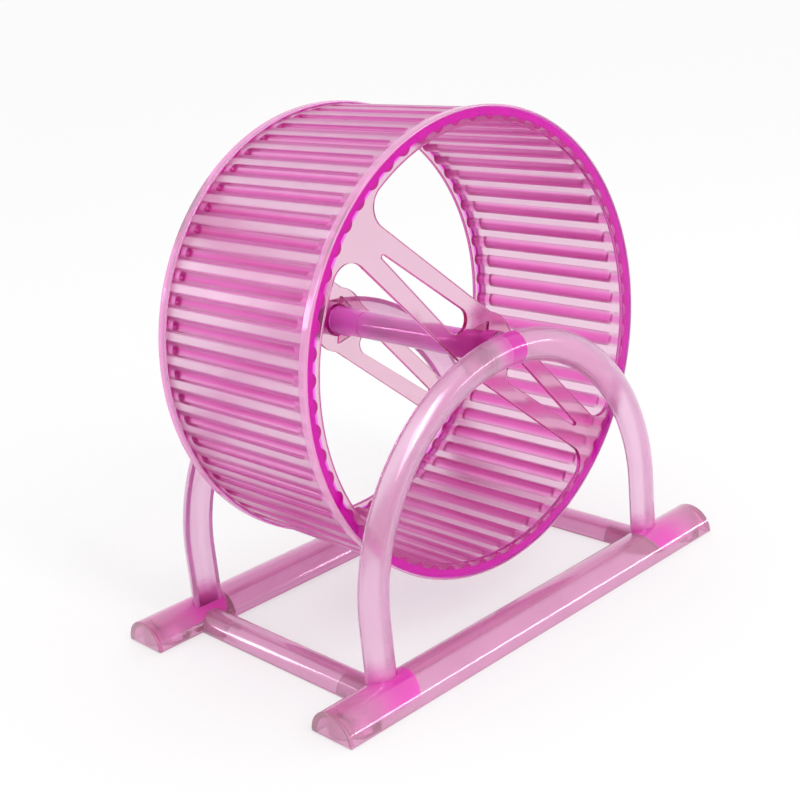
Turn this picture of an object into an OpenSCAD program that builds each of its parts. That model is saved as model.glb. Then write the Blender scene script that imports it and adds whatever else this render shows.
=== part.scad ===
// Exercise wheel for a small pet, on its stand, in clear pink plastic.
// Millimetres. +Z is up and the axle lies along Y. The origin is the middle of the footprint, on the floor.
// The front is the -Y side. Distances from the middle plane are counted towards the front,
// and each rear piece is the front piece mirrored, apart from the join of the hub tube.

/* [Wheel] */
// Diameter of the wheel over its end plates
wheel_d = 140; // [120:1:160]
// Width of the wheel from end face to end face
wheel_w = 66.4; // [55:0.2:80]
// Gap between the wheel and the floor
floor_gap = 16; // [12:0.5:30]
// Thickness of each end plate and its arms
plate_t = 1.4; // [1:0.1:2]
// Width of the lip that each end plate folds over the drum
lip_w = 3.2; // [2:0.1:4.4]
// Thickness of that lip
lip_t = 0.8; // [0.6:0.1:1.2]
// Width of the flat ring left round each end opening
ring_w = 5; // [4.6:0.1:7]

/* [Running drum] */
// Thickness of the drum wall between ribs
drum_wall = 2.1; // [1.8:0.1:2.6]
// Number of ribs round the drum
rib_count = 60; // [40:1:64]
// Diameter of the round that forms each rib on the inside
rib_d = 5; // [4.4:0.1:5.4]
// Height of each rib above the inner wall
rib_h = 1.3; // [1:0.1:1.6]
// Width of the half-round groove outside each rib
groove_w = 3; // [2:0.1:3.4]
// Plain band left between each end of the drum and its grooves
groove_end = 4.6; // [2:0.1:8]
// Turn of the first rib from the +X side, in degrees
rib_turn = 4.4; // [0:0.1:6]

/* [Arms] */
// Direction of the arms from the +X side, in degrees
arm_angle = 136.5; // [0:0.5:180]
// Width of the pair of arms, taken at the axle
arm_w_hub = 19.2; // [17:0.2:20.6]
// Width of the pair of arms, taken at the rim
arm_w_rim = 11.8; // [9:0.2:15]
// Width of the slot between two arms at its hub end
slot_w_hub = 7.6; // [5:0.2:9]
// Width of that slot at its rim end
slot_w_rim = 1.1; // [0.8:0.1:3]
// Plate left between the hub tube and the slot
slot_hub_gap = 7.8; // [6:0.1:12]
// Plate left between the slot and the flat ring
slot_rim_gap = 12.6; // [8:0.2:20]
// Radius in the corners between arms and ring
rim_fillet = 6.2; // [3:0.1:9]
// Radius in the corners between arms and hub disc
hub_fillet = 6; // [3:0.1:9]
// Width of the hub disc around the hub tube
disc_w = 6.2; // [6:0.1:9]

/* [Hub] */
// Diameter of the axle pins
pin_d = 4.6; // [4:0.1:6]
// Length of each axle pin inside its bush
pin_reach = 9.2; // [6:0.2:10]
// Wall of the hub bushes
bush_wall = 1.2; // [1:0.05:1.6]
// Length of each hub bush inside the hub
bush_l = 9; // [6:0.2:12]
// Width of the flange around each hub bush
flange_w = 1.6; // [1.2:0.1:2]
// Thickness of that flange
flange_t = 1.2; // [1:0.1:2]
// Wall of the hub around each bush
hub_wall = 0.8; // [0.7:0.05:1.2]
// Step in radius from the hub tube to the boss outside each end plate
boss_step = 1.1; // [0.6:0.1:1.6]
// Height of that boss above the end face
boss_proud = 4.3; // [2:0.1:8]
// Length of the rear hub between its end plate and the hub tube
rear_hub_l = 12.6; // [9:0.2:16]
// Wall of the hub tube
tube_wall = 1.3; // [1:0.05:1.6]
// Length of the spigot that the rear hub pushes into the hub tube
spigot_l = 10; // [6:0.2:14]
// Wall of that spigot
spigot_wall = 1.5; // [1:0.1:1.8]
// Height of the hub fins above the hub tube
fin_h = 3.6; // [2:0.1:5]
// Length of the hub fins along the hub tube
fin_l = 5.6; // [3:0.1:8]
// Thickness of the hub fins
fin_t = 1.2; // [0.8:0.1:2]
// Direction of the first hub fin from the +X side, in degrees
fin_angle = 78; // [0:1:180]

/* [Arches] */
// Radius of each arch on the middle of its channel
arch_r = 61; // [50:0.5:66]
// Radius of the half-round channel of each arch
channel_r = 5.2; // [4.8:0.1:6]
// Wall of that channel
channel_wall = 1.6; // [1.2:0.1:2]
// Half the width of the axle seat, over its two bulkheads
seat_half = 5; // [4.6:0.1:7]
// Thickness of each bulkhead, and of the wall around each axle pin
seat_wall = 1.8; // [1:0.1:2]
// Web left behind each axle pin
seat_web = 1; // [0.8:0.1:1.6]

/* [Base] */
// Length of the rails past the middle of each leg
rail_past = 23; // [20:0.5:30]
// Radius of the half-round rails
rail_r = 8.2; // [8:0.1:10]
// Wall of the rails
rail_wall = 1.8; // [1.4:0.1:2.4]
// Distance from the middle of a rail to the flat side of its legs
leg_inset = 4.5; // [3:0.1:5]
// Radius of the half-round cross-bars
bar_r = 5.5; // [5:0.1:6.5]
// Distance from the middle of a leg out to the middle of its cross-bar
bar_out = 1; // [0:0.1:2]
// Wall of the cross-bars
bar_wall = 1.6; // [1.2:0.1:2]
// Length of the tenons that carry the cross-bars
tenon_l = 9; // [6:0.5:14]
// Wall of the tenons
tenon_wall = 1.4; // [1:0.1:1.8]
// Wall of the leg sockets at the sides of a leg
socket_wall = 2.5; // [1.8:0.1:2.8]
// Wall of the leg sockets on the flat side of a leg
socket_flat = 1.7; // [1.2:0.1:2]
// Floor under each leg
socket_floor = 2; // [1:0.1:4]
// Outer diameter of the round bosses inside the rail ends
boss_d = 14; // [10:0.2:15]
// Wall of those bosses
boss_wall = 2; // [1:0.1:3]
// Distance from the end of a rail to the middle of its boss
boss_in = 9; // [8:0.1:12]

/* [Fits] */
// Gap all round where one piece is pushed into another
push_fit = 0.1; // [0.05:0.01:0.2]
// Gap all round the axle pins in their bushes
run_fit = 0.08; // [0.03:0.01:0.1]
// Gap along the axle between each bush and its arch
side_play = 0.6; // [0.4:0.1:1]

/* [Hidden] */
$fn = 64;
pink = [0.86, 0.45, 0.72];
deep_pink = [0.82, 0.2, 0.66];
pale_pink = [0.9, 0.68, 0.8];
// How far a cut runs past the face that it opens
cut = 1;
// Angle at which a corner's round crosses the edges it joins, so that the crossing is a clear point
cross_angle = 6;

wheel_r = wheel_d / 2;
half_w = wheel_w / 2;
axle_h = wheel_r + floor_gap;
opening_r = wheel_r - ring_w;
drum_half = half_w - plate_t;
drum_r = wheel_r - lip_t - push_fit;
drum_in_r = drum_r - drum_wall;
rib_at = drum_in_r - rib_h + rib_d / 2;

bush_id = pin_d + 2 * run_fit;
bush_od = bush_id + 2 * bush_wall;
tube_d = bush_od + 2 * hub_wall;
tube_id = tube_d - 2 * tube_wall;
spigot_d = tube_id - 2 * push_fit;
boss_face = half_w + boss_proud;
bush_face = boss_face + flange_t;
bush_end = boss_face - bush_l;
shoulder_y = drum_half - rear_hub_l;

disc_r = tube_d / 2 + disc_w;
slot_at_hub = tube_d / 2 + slot_hub_gap + slot_w_hub / 2;
slot_at_rim = opening_r - slot_rim_gap - slot_w_rim / 2;
// The edge of a pair of arms is a straight line that closes in towards the rim
arm_lean = atan((arm_w_hub - arm_w_rim) / 2 / opening_r);
arm_edge = arm_w_hub / 2 * cos(arm_lean);
along_arm = [cos(arm_lean), -sin(arm_lean)];
off_arm = [sin(arm_lean), cos(arm_lean)];

arch_y = bush_face + side_play;
spring_z = axle_h - arch_r;
pin_end = arch_y + channel_r - seat_web;

rail_y = arch_y + leg_inset;
rail_half = arch_r + rail_past;
socket_in_y = arch_y - socket_flat;
bar_x = arch_r + bar_out;
bar_bore_r = bar_r - bar_wall;

// Extrudes a shape drawn about the axle, from one distance in front of the middle to another
module across(near, far) {
    translate([0, -near, axle_h])
        rotate([90, 0, 0])
            linear_extrude(far - near)
                children();
}

// Lays a section down along X, around the middle
module lying(length) {
    rotate([90, 0, 90])
        translate([0, 0, -length / 2])
            linear_extrude(length)
                children();
}

module flat_ring(outside_r, inside_r) {
    difference() {
        circle(r = outside_r);
        circle(r = inside_r);
    }
}

// Half of a round, flat side down, which may reach a little below the X axis
module half_round(radius, below = 0) {
    intersection() {
        circle(r = radius);
        translate([-radius, -below])
            square([2 * radius, radius + below]);
    }
}

// Half-round channel, open below
module half_channel(radius, wall) {
    difference() {
        half_round(radius);
        circle(r = radius - wall);
    }
}

// Places what repeats round the drum
module each_rib() {
    for (i = [0 : rib_count - 1])
        rotate(rib_turn + i * 360 / rib_count)
            children();
}

module running_drum() {
    color(pink)
        difference() {
            across(-drum_half, drum_half) {
                flat_ring(drum_r, drum_in_r);
                each_rib()
                    translate([rib_at, 0])
                        intersection() {
                            circle(d = rib_d);
                            translate([-rib_d / 2, -rib_d / 2])
                                square([drum_in_r + drum_wall / 2 - rib_at + rib_d / 2, rib_d]);
                        }
            }
            across(groove_end - drum_half, drum_half - groove_end)
                each_rib()
                    translate([drum_r, 0])
                        circle(d = groove_w);
        }
}

// Slot with a round end of its own size at each end
module taper_slot(near_at, near_r, far_at, far_r) {
    lean = asin((near_r - far_r) / (far_at - near_at));
    up = cos(cross_angle) * [sin(lean), cos(lean)];
    down = cos(cross_angle) * [sin(lean), -cos(lean)];
    near_end = [near_at, 0];
    far_end = [far_at, 0];
    translate(near_end)
        circle(r = near_r);
    translate(far_end)
        circle(r = far_r);
    polygon([near_end + near_r * up, far_end + far_r * up, far_end + far_r * down, near_end + near_r * down]);
}

// Fills the corner between the edge of an arm and the flat ring
module rim_corner() {
    reach = sqrt(pow(opening_r, 2) + pow(rim_fillet, 2) - 2 * opening_r * rim_fillet * cos(cross_angle));
    rise = arm_edge + rim_fillet * cos(cross_angle);
    run = sqrt(reach * reach - rise * rise);
    middle = run * along_arm + rise * off_arm;
    in_r = opening_r + ring_w / 2;
    difference() {
        polygon([middle, run * along_arm, in_r * along_arm, middle * in_r / reach]);
        translate(middle)
            circle(r = rim_fillet);
    }
}

// Fills the corner between the edge of an arm and the hub disc
module hub_corner() {
    reach = sqrt(pow(disc_r, 2) + pow(hub_fillet, 2) + 2 * disc_r * hub_fillet * cos(cross_angle));
    rise = arm_edge + hub_fillet * cos(cross_angle);
    run = sqrt(reach * reach - rise * rise);
    middle = run * along_arm + rise * off_arm;
    difference() {
        polygon([middle, run * along_arm, middle * tube_d / 2 / reach]);
        translate(middle)
            circle(r = hub_fillet);
    }
}

// Two arms with the slot between them still filled, lying along +X
module arm_pair() {
    far = opening_r + ring_w / 2;
    far_half = arm_w_hub / 2 - far * tan(arm_lean);
    polygon([[0, arm_w_hub / 2], [far, far_half], [far, -far_half], [0, -arm_w_hub / 2]]);
    for (side = [0, 1])
        mirror([0, side]) {
            rim_corner();
            hub_corner();
        }
}

module spider_outline() {
    difference() {
        union() {
            flat_ring(wheel_r, opening_r);
            circle(r = disc_r);
            for (turn = [0, 180])
                rotate(arm_angle + turn)
                    arm_pair();
        }
        for (turn = [0, 180])
            rotate(arm_angle + turn)
                taper_slot(slot_at_hub, slot_w_hub / 2, slot_at_rim, slot_w_rim / 2);
    }
}

// Triangular fins between the end plate and the hub tube
module hub_fins() {
    foot = tube_d / 2 - hub_wall / 2;
    for (turn = [0, 180])
        translate([0, 0, axle_h])
            rotate([0, -fin_angle - turn, 0])
                translate([0, -drum_half, -fin_t / 2])
                    linear_extrude(fin_t)
                        polygon([[foot, 0], [tube_d / 2 + fin_h, 0], [tube_d / 2, fin_l], [foot, fin_l]]);
}

// End plate with its lip, arms, fins and outer boss, around a hub that reaches in to hub_from
module end_spider(hub_from) {
    across(drum_half, half_w)
        spider_outline();
    across(half_w - lip_w, half_w)
        flat_ring(wheel_r, wheel_r - lip_t);
    across(drum_half, boss_face)
        circle(d = tube_d + 2 * boss_step);
    across(hub_from, half_w)
        circle(d = tube_d);
    hub_fins();
}

// Seat for a hub bush, with its shoulder just past the end of the bush
module bush_seat() {
    across(bush_end - push_fit, boss_face + cut)
        circle(d = bush_od);
}

module front_end_spider() {
    color(pale_pink)
        difference() {
            end_spider(push_fit - shoulder_y);
            bush_seat();
            across(-shoulder_y, bush_end)
                circle(d = tube_id);
        }
}

module rear_end_spider() {
    color(pale_pink)
        mirror([0, 1, 0])
            difference() {
                union() {
                    end_spider(shoulder_y);
                    across(shoulder_y - spigot_l, half_w)
                        circle(d = spigot_d);
                }
                bush_seat();
                across(shoulder_y - spigot_l - cut, bush_end)
                    circle(d = spigot_d - 2 * spigot_wall);
            }
}

module hub_bush() {
    across(bush_end, bush_face)
        flat_ring(bush_od / 2, bush_id / 2);
    across(boss_face, bush_face)
        flat_ring(bush_od / 2 + flange_w, bush_id / 2);
}

module front_hub_bush() {
    color(deep_pink)
        hub_bush();
}

module rear_hub_bush() {
    color(deep_pink)
        mirror([0, 1, 0])
            hub_bush();
}

module axle_pin() {
    across(bush_face - pin_reach, pin_end)
        circle(d = pin_d);
}

module front_axle_pin() {
    color(deep_pink)
        axle_pin();
}

module rear_axle_pin() {
    color(deep_pink)
        mirror([0, 1, 0])
            axle_pin();
}

// Bends a section round the top of the arch, its flat side towards the wheel
module arch_bend() {
    translate([0, -arch_y, spring_z])
        rotate([90, 0, 0])
            rotate_extrude(angle = 180, $fn = 128)
                translate([arch_r, 0])
                    children();
}

// Stands a section on end at each leg
module at_legs(from, to) {
    for (side = [-1, 1])
        translate([side * arch_r, -arch_y, from])
            linear_extrude(to - from)
                mirror([0, 1])
                    children();
}

// Two bulkheads and a round boss, cut to the inside of the channel's outline
module axle_seat() {
    intersection() {
        arch_bend()
            half_round(channel_r - channel_wall / 2);
        union() {
            for (side = [0, 1])
                mirror([side, 0, 0])
                    translate([seat_half - seat_wall, -arch_y - channel_r, axle_h - channel_r])
                        cube([seat_wall, channel_r, 2 * channel_r]);
            across(arch_y, arch_y + channel_r)
                circle(r = pin_d / 2 + seat_wall);
        }
    }
}

module arch() {
    difference() {
        union() {
            arch_bend()
                half_channel(channel_r, channel_wall);
            at_legs(socket_floor, spring_z)
                half_channel(channel_r, channel_wall);
            axle_seat();
        }
        across(arch_y - cut, pin_end)
            circle(d = pin_d);
    }
}

module front_arch() {
    color(pale_pink)
        arch();
}

module rear_arch() {
    color(pale_pink)
        mirror([0, 1, 0])
            arch();
}

// Outline of a leg socket, flat towards the wheel, drawn with the leg's own middle at the origin
module socket_outline() {
    back = socket_wall - socket_flat;
    outline_r = channel_r + socket_wall;
    translate([0, back]) {
        circle(r = outline_r);
        translate([-outline_r, -back - socket_flat])
            square([2 * outline_r, back + socket_flat]);
    }
}

// Leg sockets and round end bosses, cut to the inside of the rail's outline
module rail_insides() {
    intersection() {
        union() {
            at_legs(0, rail_r)
                socket_outline();
            for (side = [-1, 1])
                translate([side * (rail_half - boss_in), -rail_y, 0])
                    linear_extrude(rail_r)
                        flat_ring(boss_d / 2, boss_d / 2 - boss_wall);
        }
        translate([0, -rail_y, 0])
            lying(2 * rail_half - rail_wall)
                half_round(rail_r - rail_wall / 2);
    }
}

// Short tongues on which the cross-bars are pushed
module tenons() {
    root = socket_in_y + socket_flat / 2;
    tip = rail_y - rail_r - tenon_l;
    for (side = [-1, 1])
        translate([side * bar_x, -tip, 0])
            rotate([90, 0, 0])
                linear_extrude(root - tip)
                    half_channel(bar_bore_r - push_fit, tenon_wall);
}

module rail() {
    difference() {
        union() {
            translate([0, -rail_y, 0])
                difference() {
                    lying(2 * rail_half)
                        half_round(rail_r);
                    lying(2 * (rail_half - rail_wall))
                        circle(r = rail_r - rail_wall);
                }
            rail_insides();
            tenons();
        }
        at_legs(socket_floor, rail_r + cut)
            half_round(channel_r + push_fit, push_fit);
    }
}

module front_rail() {
    color(pink)
        rail();
}

module rear_rail() {
    color(pink)
        mirror([0, 1, 0])
            rail();
}

// Channel from rail to rail, its ends cut to sit on the round of the rails
module cross_bar(side) {
    color(pink)
        difference() {
            translate([side * bar_x, rail_y, 0])
                rotate([90, 0, 0])
                    linear_extrude(2 * rail_y)
                        half_channel(bar_r, bar_wall);
            for (end = [-1, 1])
                translate([0, end * rail_y, 0])
                    lying(2 * rail_half)
                        circle(r = rail_r + push_fit);
        }
}

module left_cross_bar() {
    cross_bar(-1);
}

module right_cross_bar() {
    cross_bar(1);
}

front_rail();
rear_rail();
left_cross_bar();
right_cross_bar();
front_arch();
rear_arch();
front_axle_pin();
rear_axle_pin();
running_drum();
front_end_spider();
rear_end_spider();
front_hub_bush();
rear_hub_bush();
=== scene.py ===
import math

import bmesh
import bpy
from mathutils import Matrix, Vector


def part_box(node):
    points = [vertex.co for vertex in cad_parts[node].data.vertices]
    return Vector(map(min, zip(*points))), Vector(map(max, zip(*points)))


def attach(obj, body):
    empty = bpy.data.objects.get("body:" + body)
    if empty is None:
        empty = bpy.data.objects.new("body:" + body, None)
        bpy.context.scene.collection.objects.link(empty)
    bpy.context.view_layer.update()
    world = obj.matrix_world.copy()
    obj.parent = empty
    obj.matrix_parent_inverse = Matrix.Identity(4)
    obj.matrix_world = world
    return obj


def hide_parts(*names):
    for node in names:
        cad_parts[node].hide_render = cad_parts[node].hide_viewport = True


# The exercise wheel in clear pink plastic. Metres, Z up, the axle along Y, the front on the -Y side.
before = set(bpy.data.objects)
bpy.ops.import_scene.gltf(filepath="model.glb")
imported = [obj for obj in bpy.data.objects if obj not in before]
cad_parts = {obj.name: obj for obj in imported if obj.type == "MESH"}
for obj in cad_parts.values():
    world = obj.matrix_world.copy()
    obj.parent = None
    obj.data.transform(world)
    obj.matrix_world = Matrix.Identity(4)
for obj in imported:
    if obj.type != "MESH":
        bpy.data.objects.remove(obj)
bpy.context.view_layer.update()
mm = 0.001

# What every piece shares, read from the CAD pieces
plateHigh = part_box("front_end_spider")[1]
drumLow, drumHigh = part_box("running_drum")
railLow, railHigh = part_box("front_rail")
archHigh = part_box("front_arch")[1]
pinLow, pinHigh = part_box("front_axle_pin")
bushLow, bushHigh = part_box("front_hub_bush")
axle = Vector((0, 0, (drumLow.z + drumHigh.z) / 2))
wheelR = plateHigh.x
drumR = drumHigh.x
drumHalf = drumHigh.y
boreR = pinHigh.x
touching = 0.04 * mm  # air left between pieces that touch, so that each keeps its own surface
beyond = 1 * mm  # how far a cut runs past the face that it opens
largeFacesLead = 60  # over 50, large faces count for more in the normals at a corner


# Meshes

def newPiece(name, points, faces):
    mesh = bpy.data.meshes.new(name)
    mesh.from_pydata([tuple(p) for p in points], [], faces)
    mesh.update()
    obj = bpy.data.objects.new(name, mesh)
    bpy.context.scene.collection.objects.link(obj)
    return obj


def asMesh(obj, name):
    # turns a curve, or a mesh with modifiers, into a plain mesh object
    graph = bpy.context.evaluated_depsgraph_get()
    graph.update()
    mesh = bpy.data.meshes.new_from_object(obj.evaluated_get(graph))
    made = bpy.data.objects.new(name, mesh)
    bpy.context.scene.collection.objects.link(made)
    bpy.data.objects.remove(obj)
    return made


def welded(obj, gap=0.002 * mm):
    shape = bmesh.new()
    shape.from_mesh(obj.data)
    bmesh.ops.remove_doubles(shape, verts=shape.verts, dist=gap)
    bmesh.ops.recalc_face_normals(shape, faces=shape.faces)
    shape.to_mesh(obj.data)
    shape.free()
    return obj


def arc(centre, radius, start, end, steps):
    # points on an arc, angles in degrees, both ends included
    out = []
    for i in range(steps + 1):
        a = math.radians(start + (end - start) * i / steps)
        out.append(Vector((centre[0] + radius * math.cos(a), centre[1] + radius * math.sin(a))))
    return out


def ring(radius, steps):
    # points all round a circle
    return arc((0, 0), radius, 0, 360 - 360 / steps, steps - 1)


def rounded(corners, steps=3):
    # a closed outline from corners given as (x, y, radius of the round there)
    out = []
    for i, (x, y, radius) in enumerate(corners):
        here = Vector((x, y))
        if not radius:
            out.append(here)
            continue
        back = (Vector(corners[i - 1][:2]) - here).normalized()
        on = (Vector(corners[(i + 1) % len(corners)][:2]) - here).normalized()
        half = back.angle(on) / 2
        centre = here + (back + on).normalized() * radius / math.sin(half)
        first = here + back * radius / math.tan(half) - centre
        last = here + on * radius / math.tan(half) - centre
        turn = -first.angle_signed(last)
        for k in range(steps + 1):
            out.append(centre + Matrix.Rotation(turn * k / steps, 2) @ first)
    return out


def turned(name, outline, steps):
    # turns a closed outline of (radius, y) round the axle
    points, faces, n = [], [], len(outline)
    for i in range(steps):
        a = 2 * math.pi * i / steps
        for r, y in outline:
            points.append((r * math.cos(a), y, axle.z + r * math.sin(a)))
    for i in range(steps):
        for k in range(n):
            a, b = i * n, (i + 1) % steps * n
            faces.append((a + k, b + k, b + (k + 1) % n, a + (k + 1) % n))
    return welded(newPiece(name, points, faces))


def block(name, low, high):
    points = [(x, y, z) for x in (low[0], high[0]) for y in (low[1], high[1]) for z in (low[2], high[2])]
    faces = [(0, 1, 3, 2), (4, 6, 7, 5), (0, 4, 5, 1), (2, 3, 7, 6), (0, 2, 6, 4), (1, 5, 7, 3)]
    return welded(newPiece(name, points, faces))


def combined(obj, others, how="UNION"):
    for other in others:
        cut = obj.modifiers.new("combine", "BOOLEAN")
        cut.operation, cut.solver, cut.object = how, "MANIFOLD", other
        name = obj.name
        obj.name = name + "_before"
        made = asMesh(obj, name)
        bpy.data.objects.remove(other)
        obj = made
    return obj


def flipped(obj):
    # the same moulding on the other side
    obj.data.transform(Matrix.Scale(-1, 4, (0, 1, 0)))
    obj.data.flip_normals()
    return obj


def smoothed(obj, angle):
    # smooth rounds with flat faces kept flat
    for polygon in obj.data.polygons:
        polygon.use_smooth = True
    obj.data.set_sharp_from_angle(angle=math.radians(angle))
    even = obj.modifiers.new("evenNormals", "WEIGHTED_NORMAL")
    even.keep_sharp, even.weight = True, largeFacesLead
    name = obj.name
    obj.name = name + "_rough"
    return asMesh(obj, name)


def finished(obj, name, body, node, material, paintedDeepMaterial=None, paintedDeepAt=None, angle=34):
    # smooths a piece, gives it its plastic, painted deep magenta on the faces where light would be caught
    # inside it, and hands it to the frame
    obj.data.materials.clear()
    obj.data.materials.append(material)
    if paintedDeepAt:
        obj.data.materials.append(paintedDeepMaterial)
    made = smoothed(obj, angle)
    made.name = name
    for polygon in made.data.polygons:
        polygon.material_index = int(bool(paintedDeepAt and paintedDeepAt(polygon.center, polygon.normal)))
    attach(made, body)
    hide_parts(node)
    deep = sum(polygon.material_index for polygon in made.data.polygons)
    print(name, len(made.data.polygons), "faces,", deep, "of them deep")


# Node trees

def addNode(tree, kind, links=None, **settings):
    node = tree.nodes.new(kind)
    for key, value in settings.items():
        setattr(node, key, value)
    for socket, value in (links or {}).items():
        if isinstance(value, bpy.types.NodeSocket):
            tree.links.new(value, node.inputs[socket])
        else:
            node.inputs[socket].default_value = value
    return node


def newGeometryTree(name, inputs):
    tree = bpy.data.node_groups.new(name, "GeometryNodeTree")
    tree.interface.new_socket("Geometry", in_out="INPUT", socket_type="NodeSocketGeometry")
    for title, kind in inputs:
        tree.interface.new_socket(title, in_out="INPUT", socket_type=kind)
    tree.interface.new_socket("Geometry", in_out="OUTPUT", socket_type="NodeSocketGeometry")
    return tree, tree.nodes.new("NodeGroupInput")


def applyTree(obj, tree, values):
    modifier = obj.modifiers.new(tree.name, "NODES")
    modifier.node_group = tree
    for item in tree.interface.items_tree:
        if item.in_out == "INPUT" and item.name in values:
            modifier[item.identifier] = values[item.name]
    name = obj.name
    obj.name = name + "_base"
    return asMesh(obj, name)


def roundArrayTree():
    # copies a sector round the axle and joins the copies into one skin
    tree, given = newGeometryTree("roundArray", [
        ("Copies", "NodeSocketInt"), ("Axle", "NodeSocketVector"), ("Seam", "NodeSocketFloat"),
        ("Material", "NodeSocketMaterial")])
    around = addNode(tree, "GeometryNodeMeshLine", {"Count": given.outputs["Copies"], "Offset": (0, 0, 0)})
    index = addNode(tree, "GeometryNodeInputIndex")
    step = addNode(tree, "ShaderNodeMath", {0: 2 * math.pi, 1: given.outputs["Copies"]}, operation="DIVIDE")
    turn = addNode(tree, "ShaderNodeMath", {0: index.outputs[0], 1: step.outputs[0]}, operation="MULTIPLY")
    euler = addNode(tree, "ShaderNodeCombineXYZ", {"Y": turn.outputs[0]})
    atAxle = addNode(tree, "GeometryNodeSetPosition",
                     {"Geometry": around.outputs["Mesh"], "Position": given.outputs["Axle"]})
    copies = addNode(tree, "GeometryNodeInstanceOnPoints", {
        "Points": atAxle.outputs[0], "Instance": given.outputs["Geometry"], "Rotation": euler.outputs[0]})
    real = addNode(tree, "GeometryNodeRealizeInstances", {"Geometry": copies.outputs[0]})
    joined = addNode(tree, "GeometryNodeMergeByDistance",
                     {"Geometry": real.outputs[0], "Distance": given.outputs["Seam"]})
    finish = addNode(tree, "GeometryNodeSetMaterial",
                     {"Geometry": joined.outputs[0], "Material": given.outputs["Material"]})
    addNode(tree, "NodeGroupOutput", {"Geometry": finish.outputs[0]})
    return tree


def sweepTree():
    # draws an outline along a path, with closed ends
    tree, given = newGeometryTree("sweep", [
        ("Outline", "NodeSocketObject"), ("Material", "NodeSocketMaterial")])
    path = addNode(tree, "GeometryNodeMeshToCurve", {"Mesh": given.outputs["Geometry"]})
    outline = addNode(tree, "GeometryNodeObjectInfo", {"Object": given.outputs["Outline"]})
    section = addNode(tree, "GeometryNodeMeshToCurve", {"Mesh": outline.outputs["Geometry"]})
    swept = addNode(tree, "GeometryNodeCurveToMesh", {
        "Curve": path.outputs[0], "Profile Curve": section.outputs[0], "Fill Caps": True})
    real = addNode(tree, "GeometryNodeRealizeInstances", {"Geometry": swept.outputs[0]})
    finish = addNode(tree, "GeometryNodeSetMaterial",
                     {"Geometry": real.outputs[0], "Material": given.outputs["Material"]})
    addNode(tree, "NodeGroupOutput", {"Geometry": finish.outputs[0]})
    return tree


# Outlines and lines for sweeping

def newLine(name, points, closed=False):
    mesh = bpy.data.meshes.new(name)
    edges = [(i, i + 1) for i in range(len(points) - 1)]
    if closed:
        edges.append((len(points) - 1, 0))
    mesh.from_pydata([(p[0], p[1], p[2] if len(p) > 2 else 0) for p in points], edges, [])
    obj = bpy.data.objects.new(name, mesh)
    bpy.context.scene.collection.objects.link(obj)
    return obj


def channelOutline(outR, inR, edge, steps=28):
    # half a ring, open below; its arcs stop some degrees short, which leaves room to round the two feet
    outShort, inShort = 9, 13
    outer = [(p.x, p.y, 0) for p in arc((0, 0), outR, outShort, 180 - outShort, steps)]
    inner = [(p.x, p.y, 0) for p in arc((0, 0), inR, 180 - inShort, inShort, steps)]
    return rounded([(outR, 0, edge), *outer, (-outR, 0, edge), (-inR, 0, edge), *inner, (inR, 0, edge)])


def upsideDown(outline):
    # an outline swept along Y comes out upside down, so it is drawn that way
    return [(p[0], -p[1]) for p in outline]


def swept(name, path, outline, tree, material):
    section = newLine(name + "_outline", outline, closed=True)
    line = newLine(name, path)
    made = applyTree(line, tree, {"Outline": section, "Material": material})
    bpy.data.objects.remove(section)
    return welded(made)


def extruded(name, outline, low, high):
    # a closed outline of (x, y) given a height in Z
    n = len(outline)
    points = [(p[0], p[1], h) for h in (low, high) for p in outline]
    faces = [tuple(range(n)), tuple(range(n, 2 * n))]
    faces += [(i, (i + 1) % n, n + (i + 1) % n, n + i) for i in range(n)]
    return welded(newPiece(name, points, faces))


# Running drum

drum = dict(
    ribs=60, wall=2.1 * mm, ribR=2.5 * mm, ribHeight=1.3 * mm, ribFoot=0.5 * mm,
    grooveR=1.55 * mm, grooveEdge=0.2 * mm, grooveEnd=4.6 * mm,
    endRound=0.15 * mm, ribTurn=4.4, seam=0.004 * mm, smoothUpTo=48,
    # where its skins are sampled, in mm: from a rib's middle, and from a groove's end inwards
    fromMiddle=[0, 0.42, 0.8, 1.12, 1.34, 1.47, 1.535, 1.58, 1.64, 1.73, 1.92, 2.14, 2.3, 2.44, 2.56, 3.05],
    fromEnd=[2.0, 1.3, 0.85, 0.55, 0.34, 0.2, 0.1, 0.03, -0.05, -0.12, -0.19, -0.6])


def ribHeightAt(s):
    # height of the inner skin at s along it from the middle of a rib
    r, foot, sink = drum["ribR"], drum["ribFoot"], drum["ribR"] - drum["ribHeight"]
    footAt = math.sqrt((r + foot) ** 2 - (foot + sink) ** 2)
    s = abs(s)
    if s < footAt * r / (r + foot):
        return math.sqrt(r * r - s * s) - sink
    if s < footAt:
        return foot - math.sqrt(foot * foot - (footAt - s) ** 2)
    return 0


def grooveDepthAt(s, y):
    # depth of the outer skin at s along it and y along the axle
    r, edge = drum["grooveR"], drum["grooveEdge"]
    straight = drumHalf - drum["grooveEnd"] - r
    away = math.hypot(s, max(0, abs(y) - straight))
    edgeAt = math.sqrt((r + edge) ** 2 - edge ** 2)
    if away < edgeAt * r / (r + edge):
        return math.sqrt(r * r - away * away)
    if away < edgeAt:
        return edge - math.sqrt(edge * edge - (edgeAt - away) ** 2)
    return 0


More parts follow.
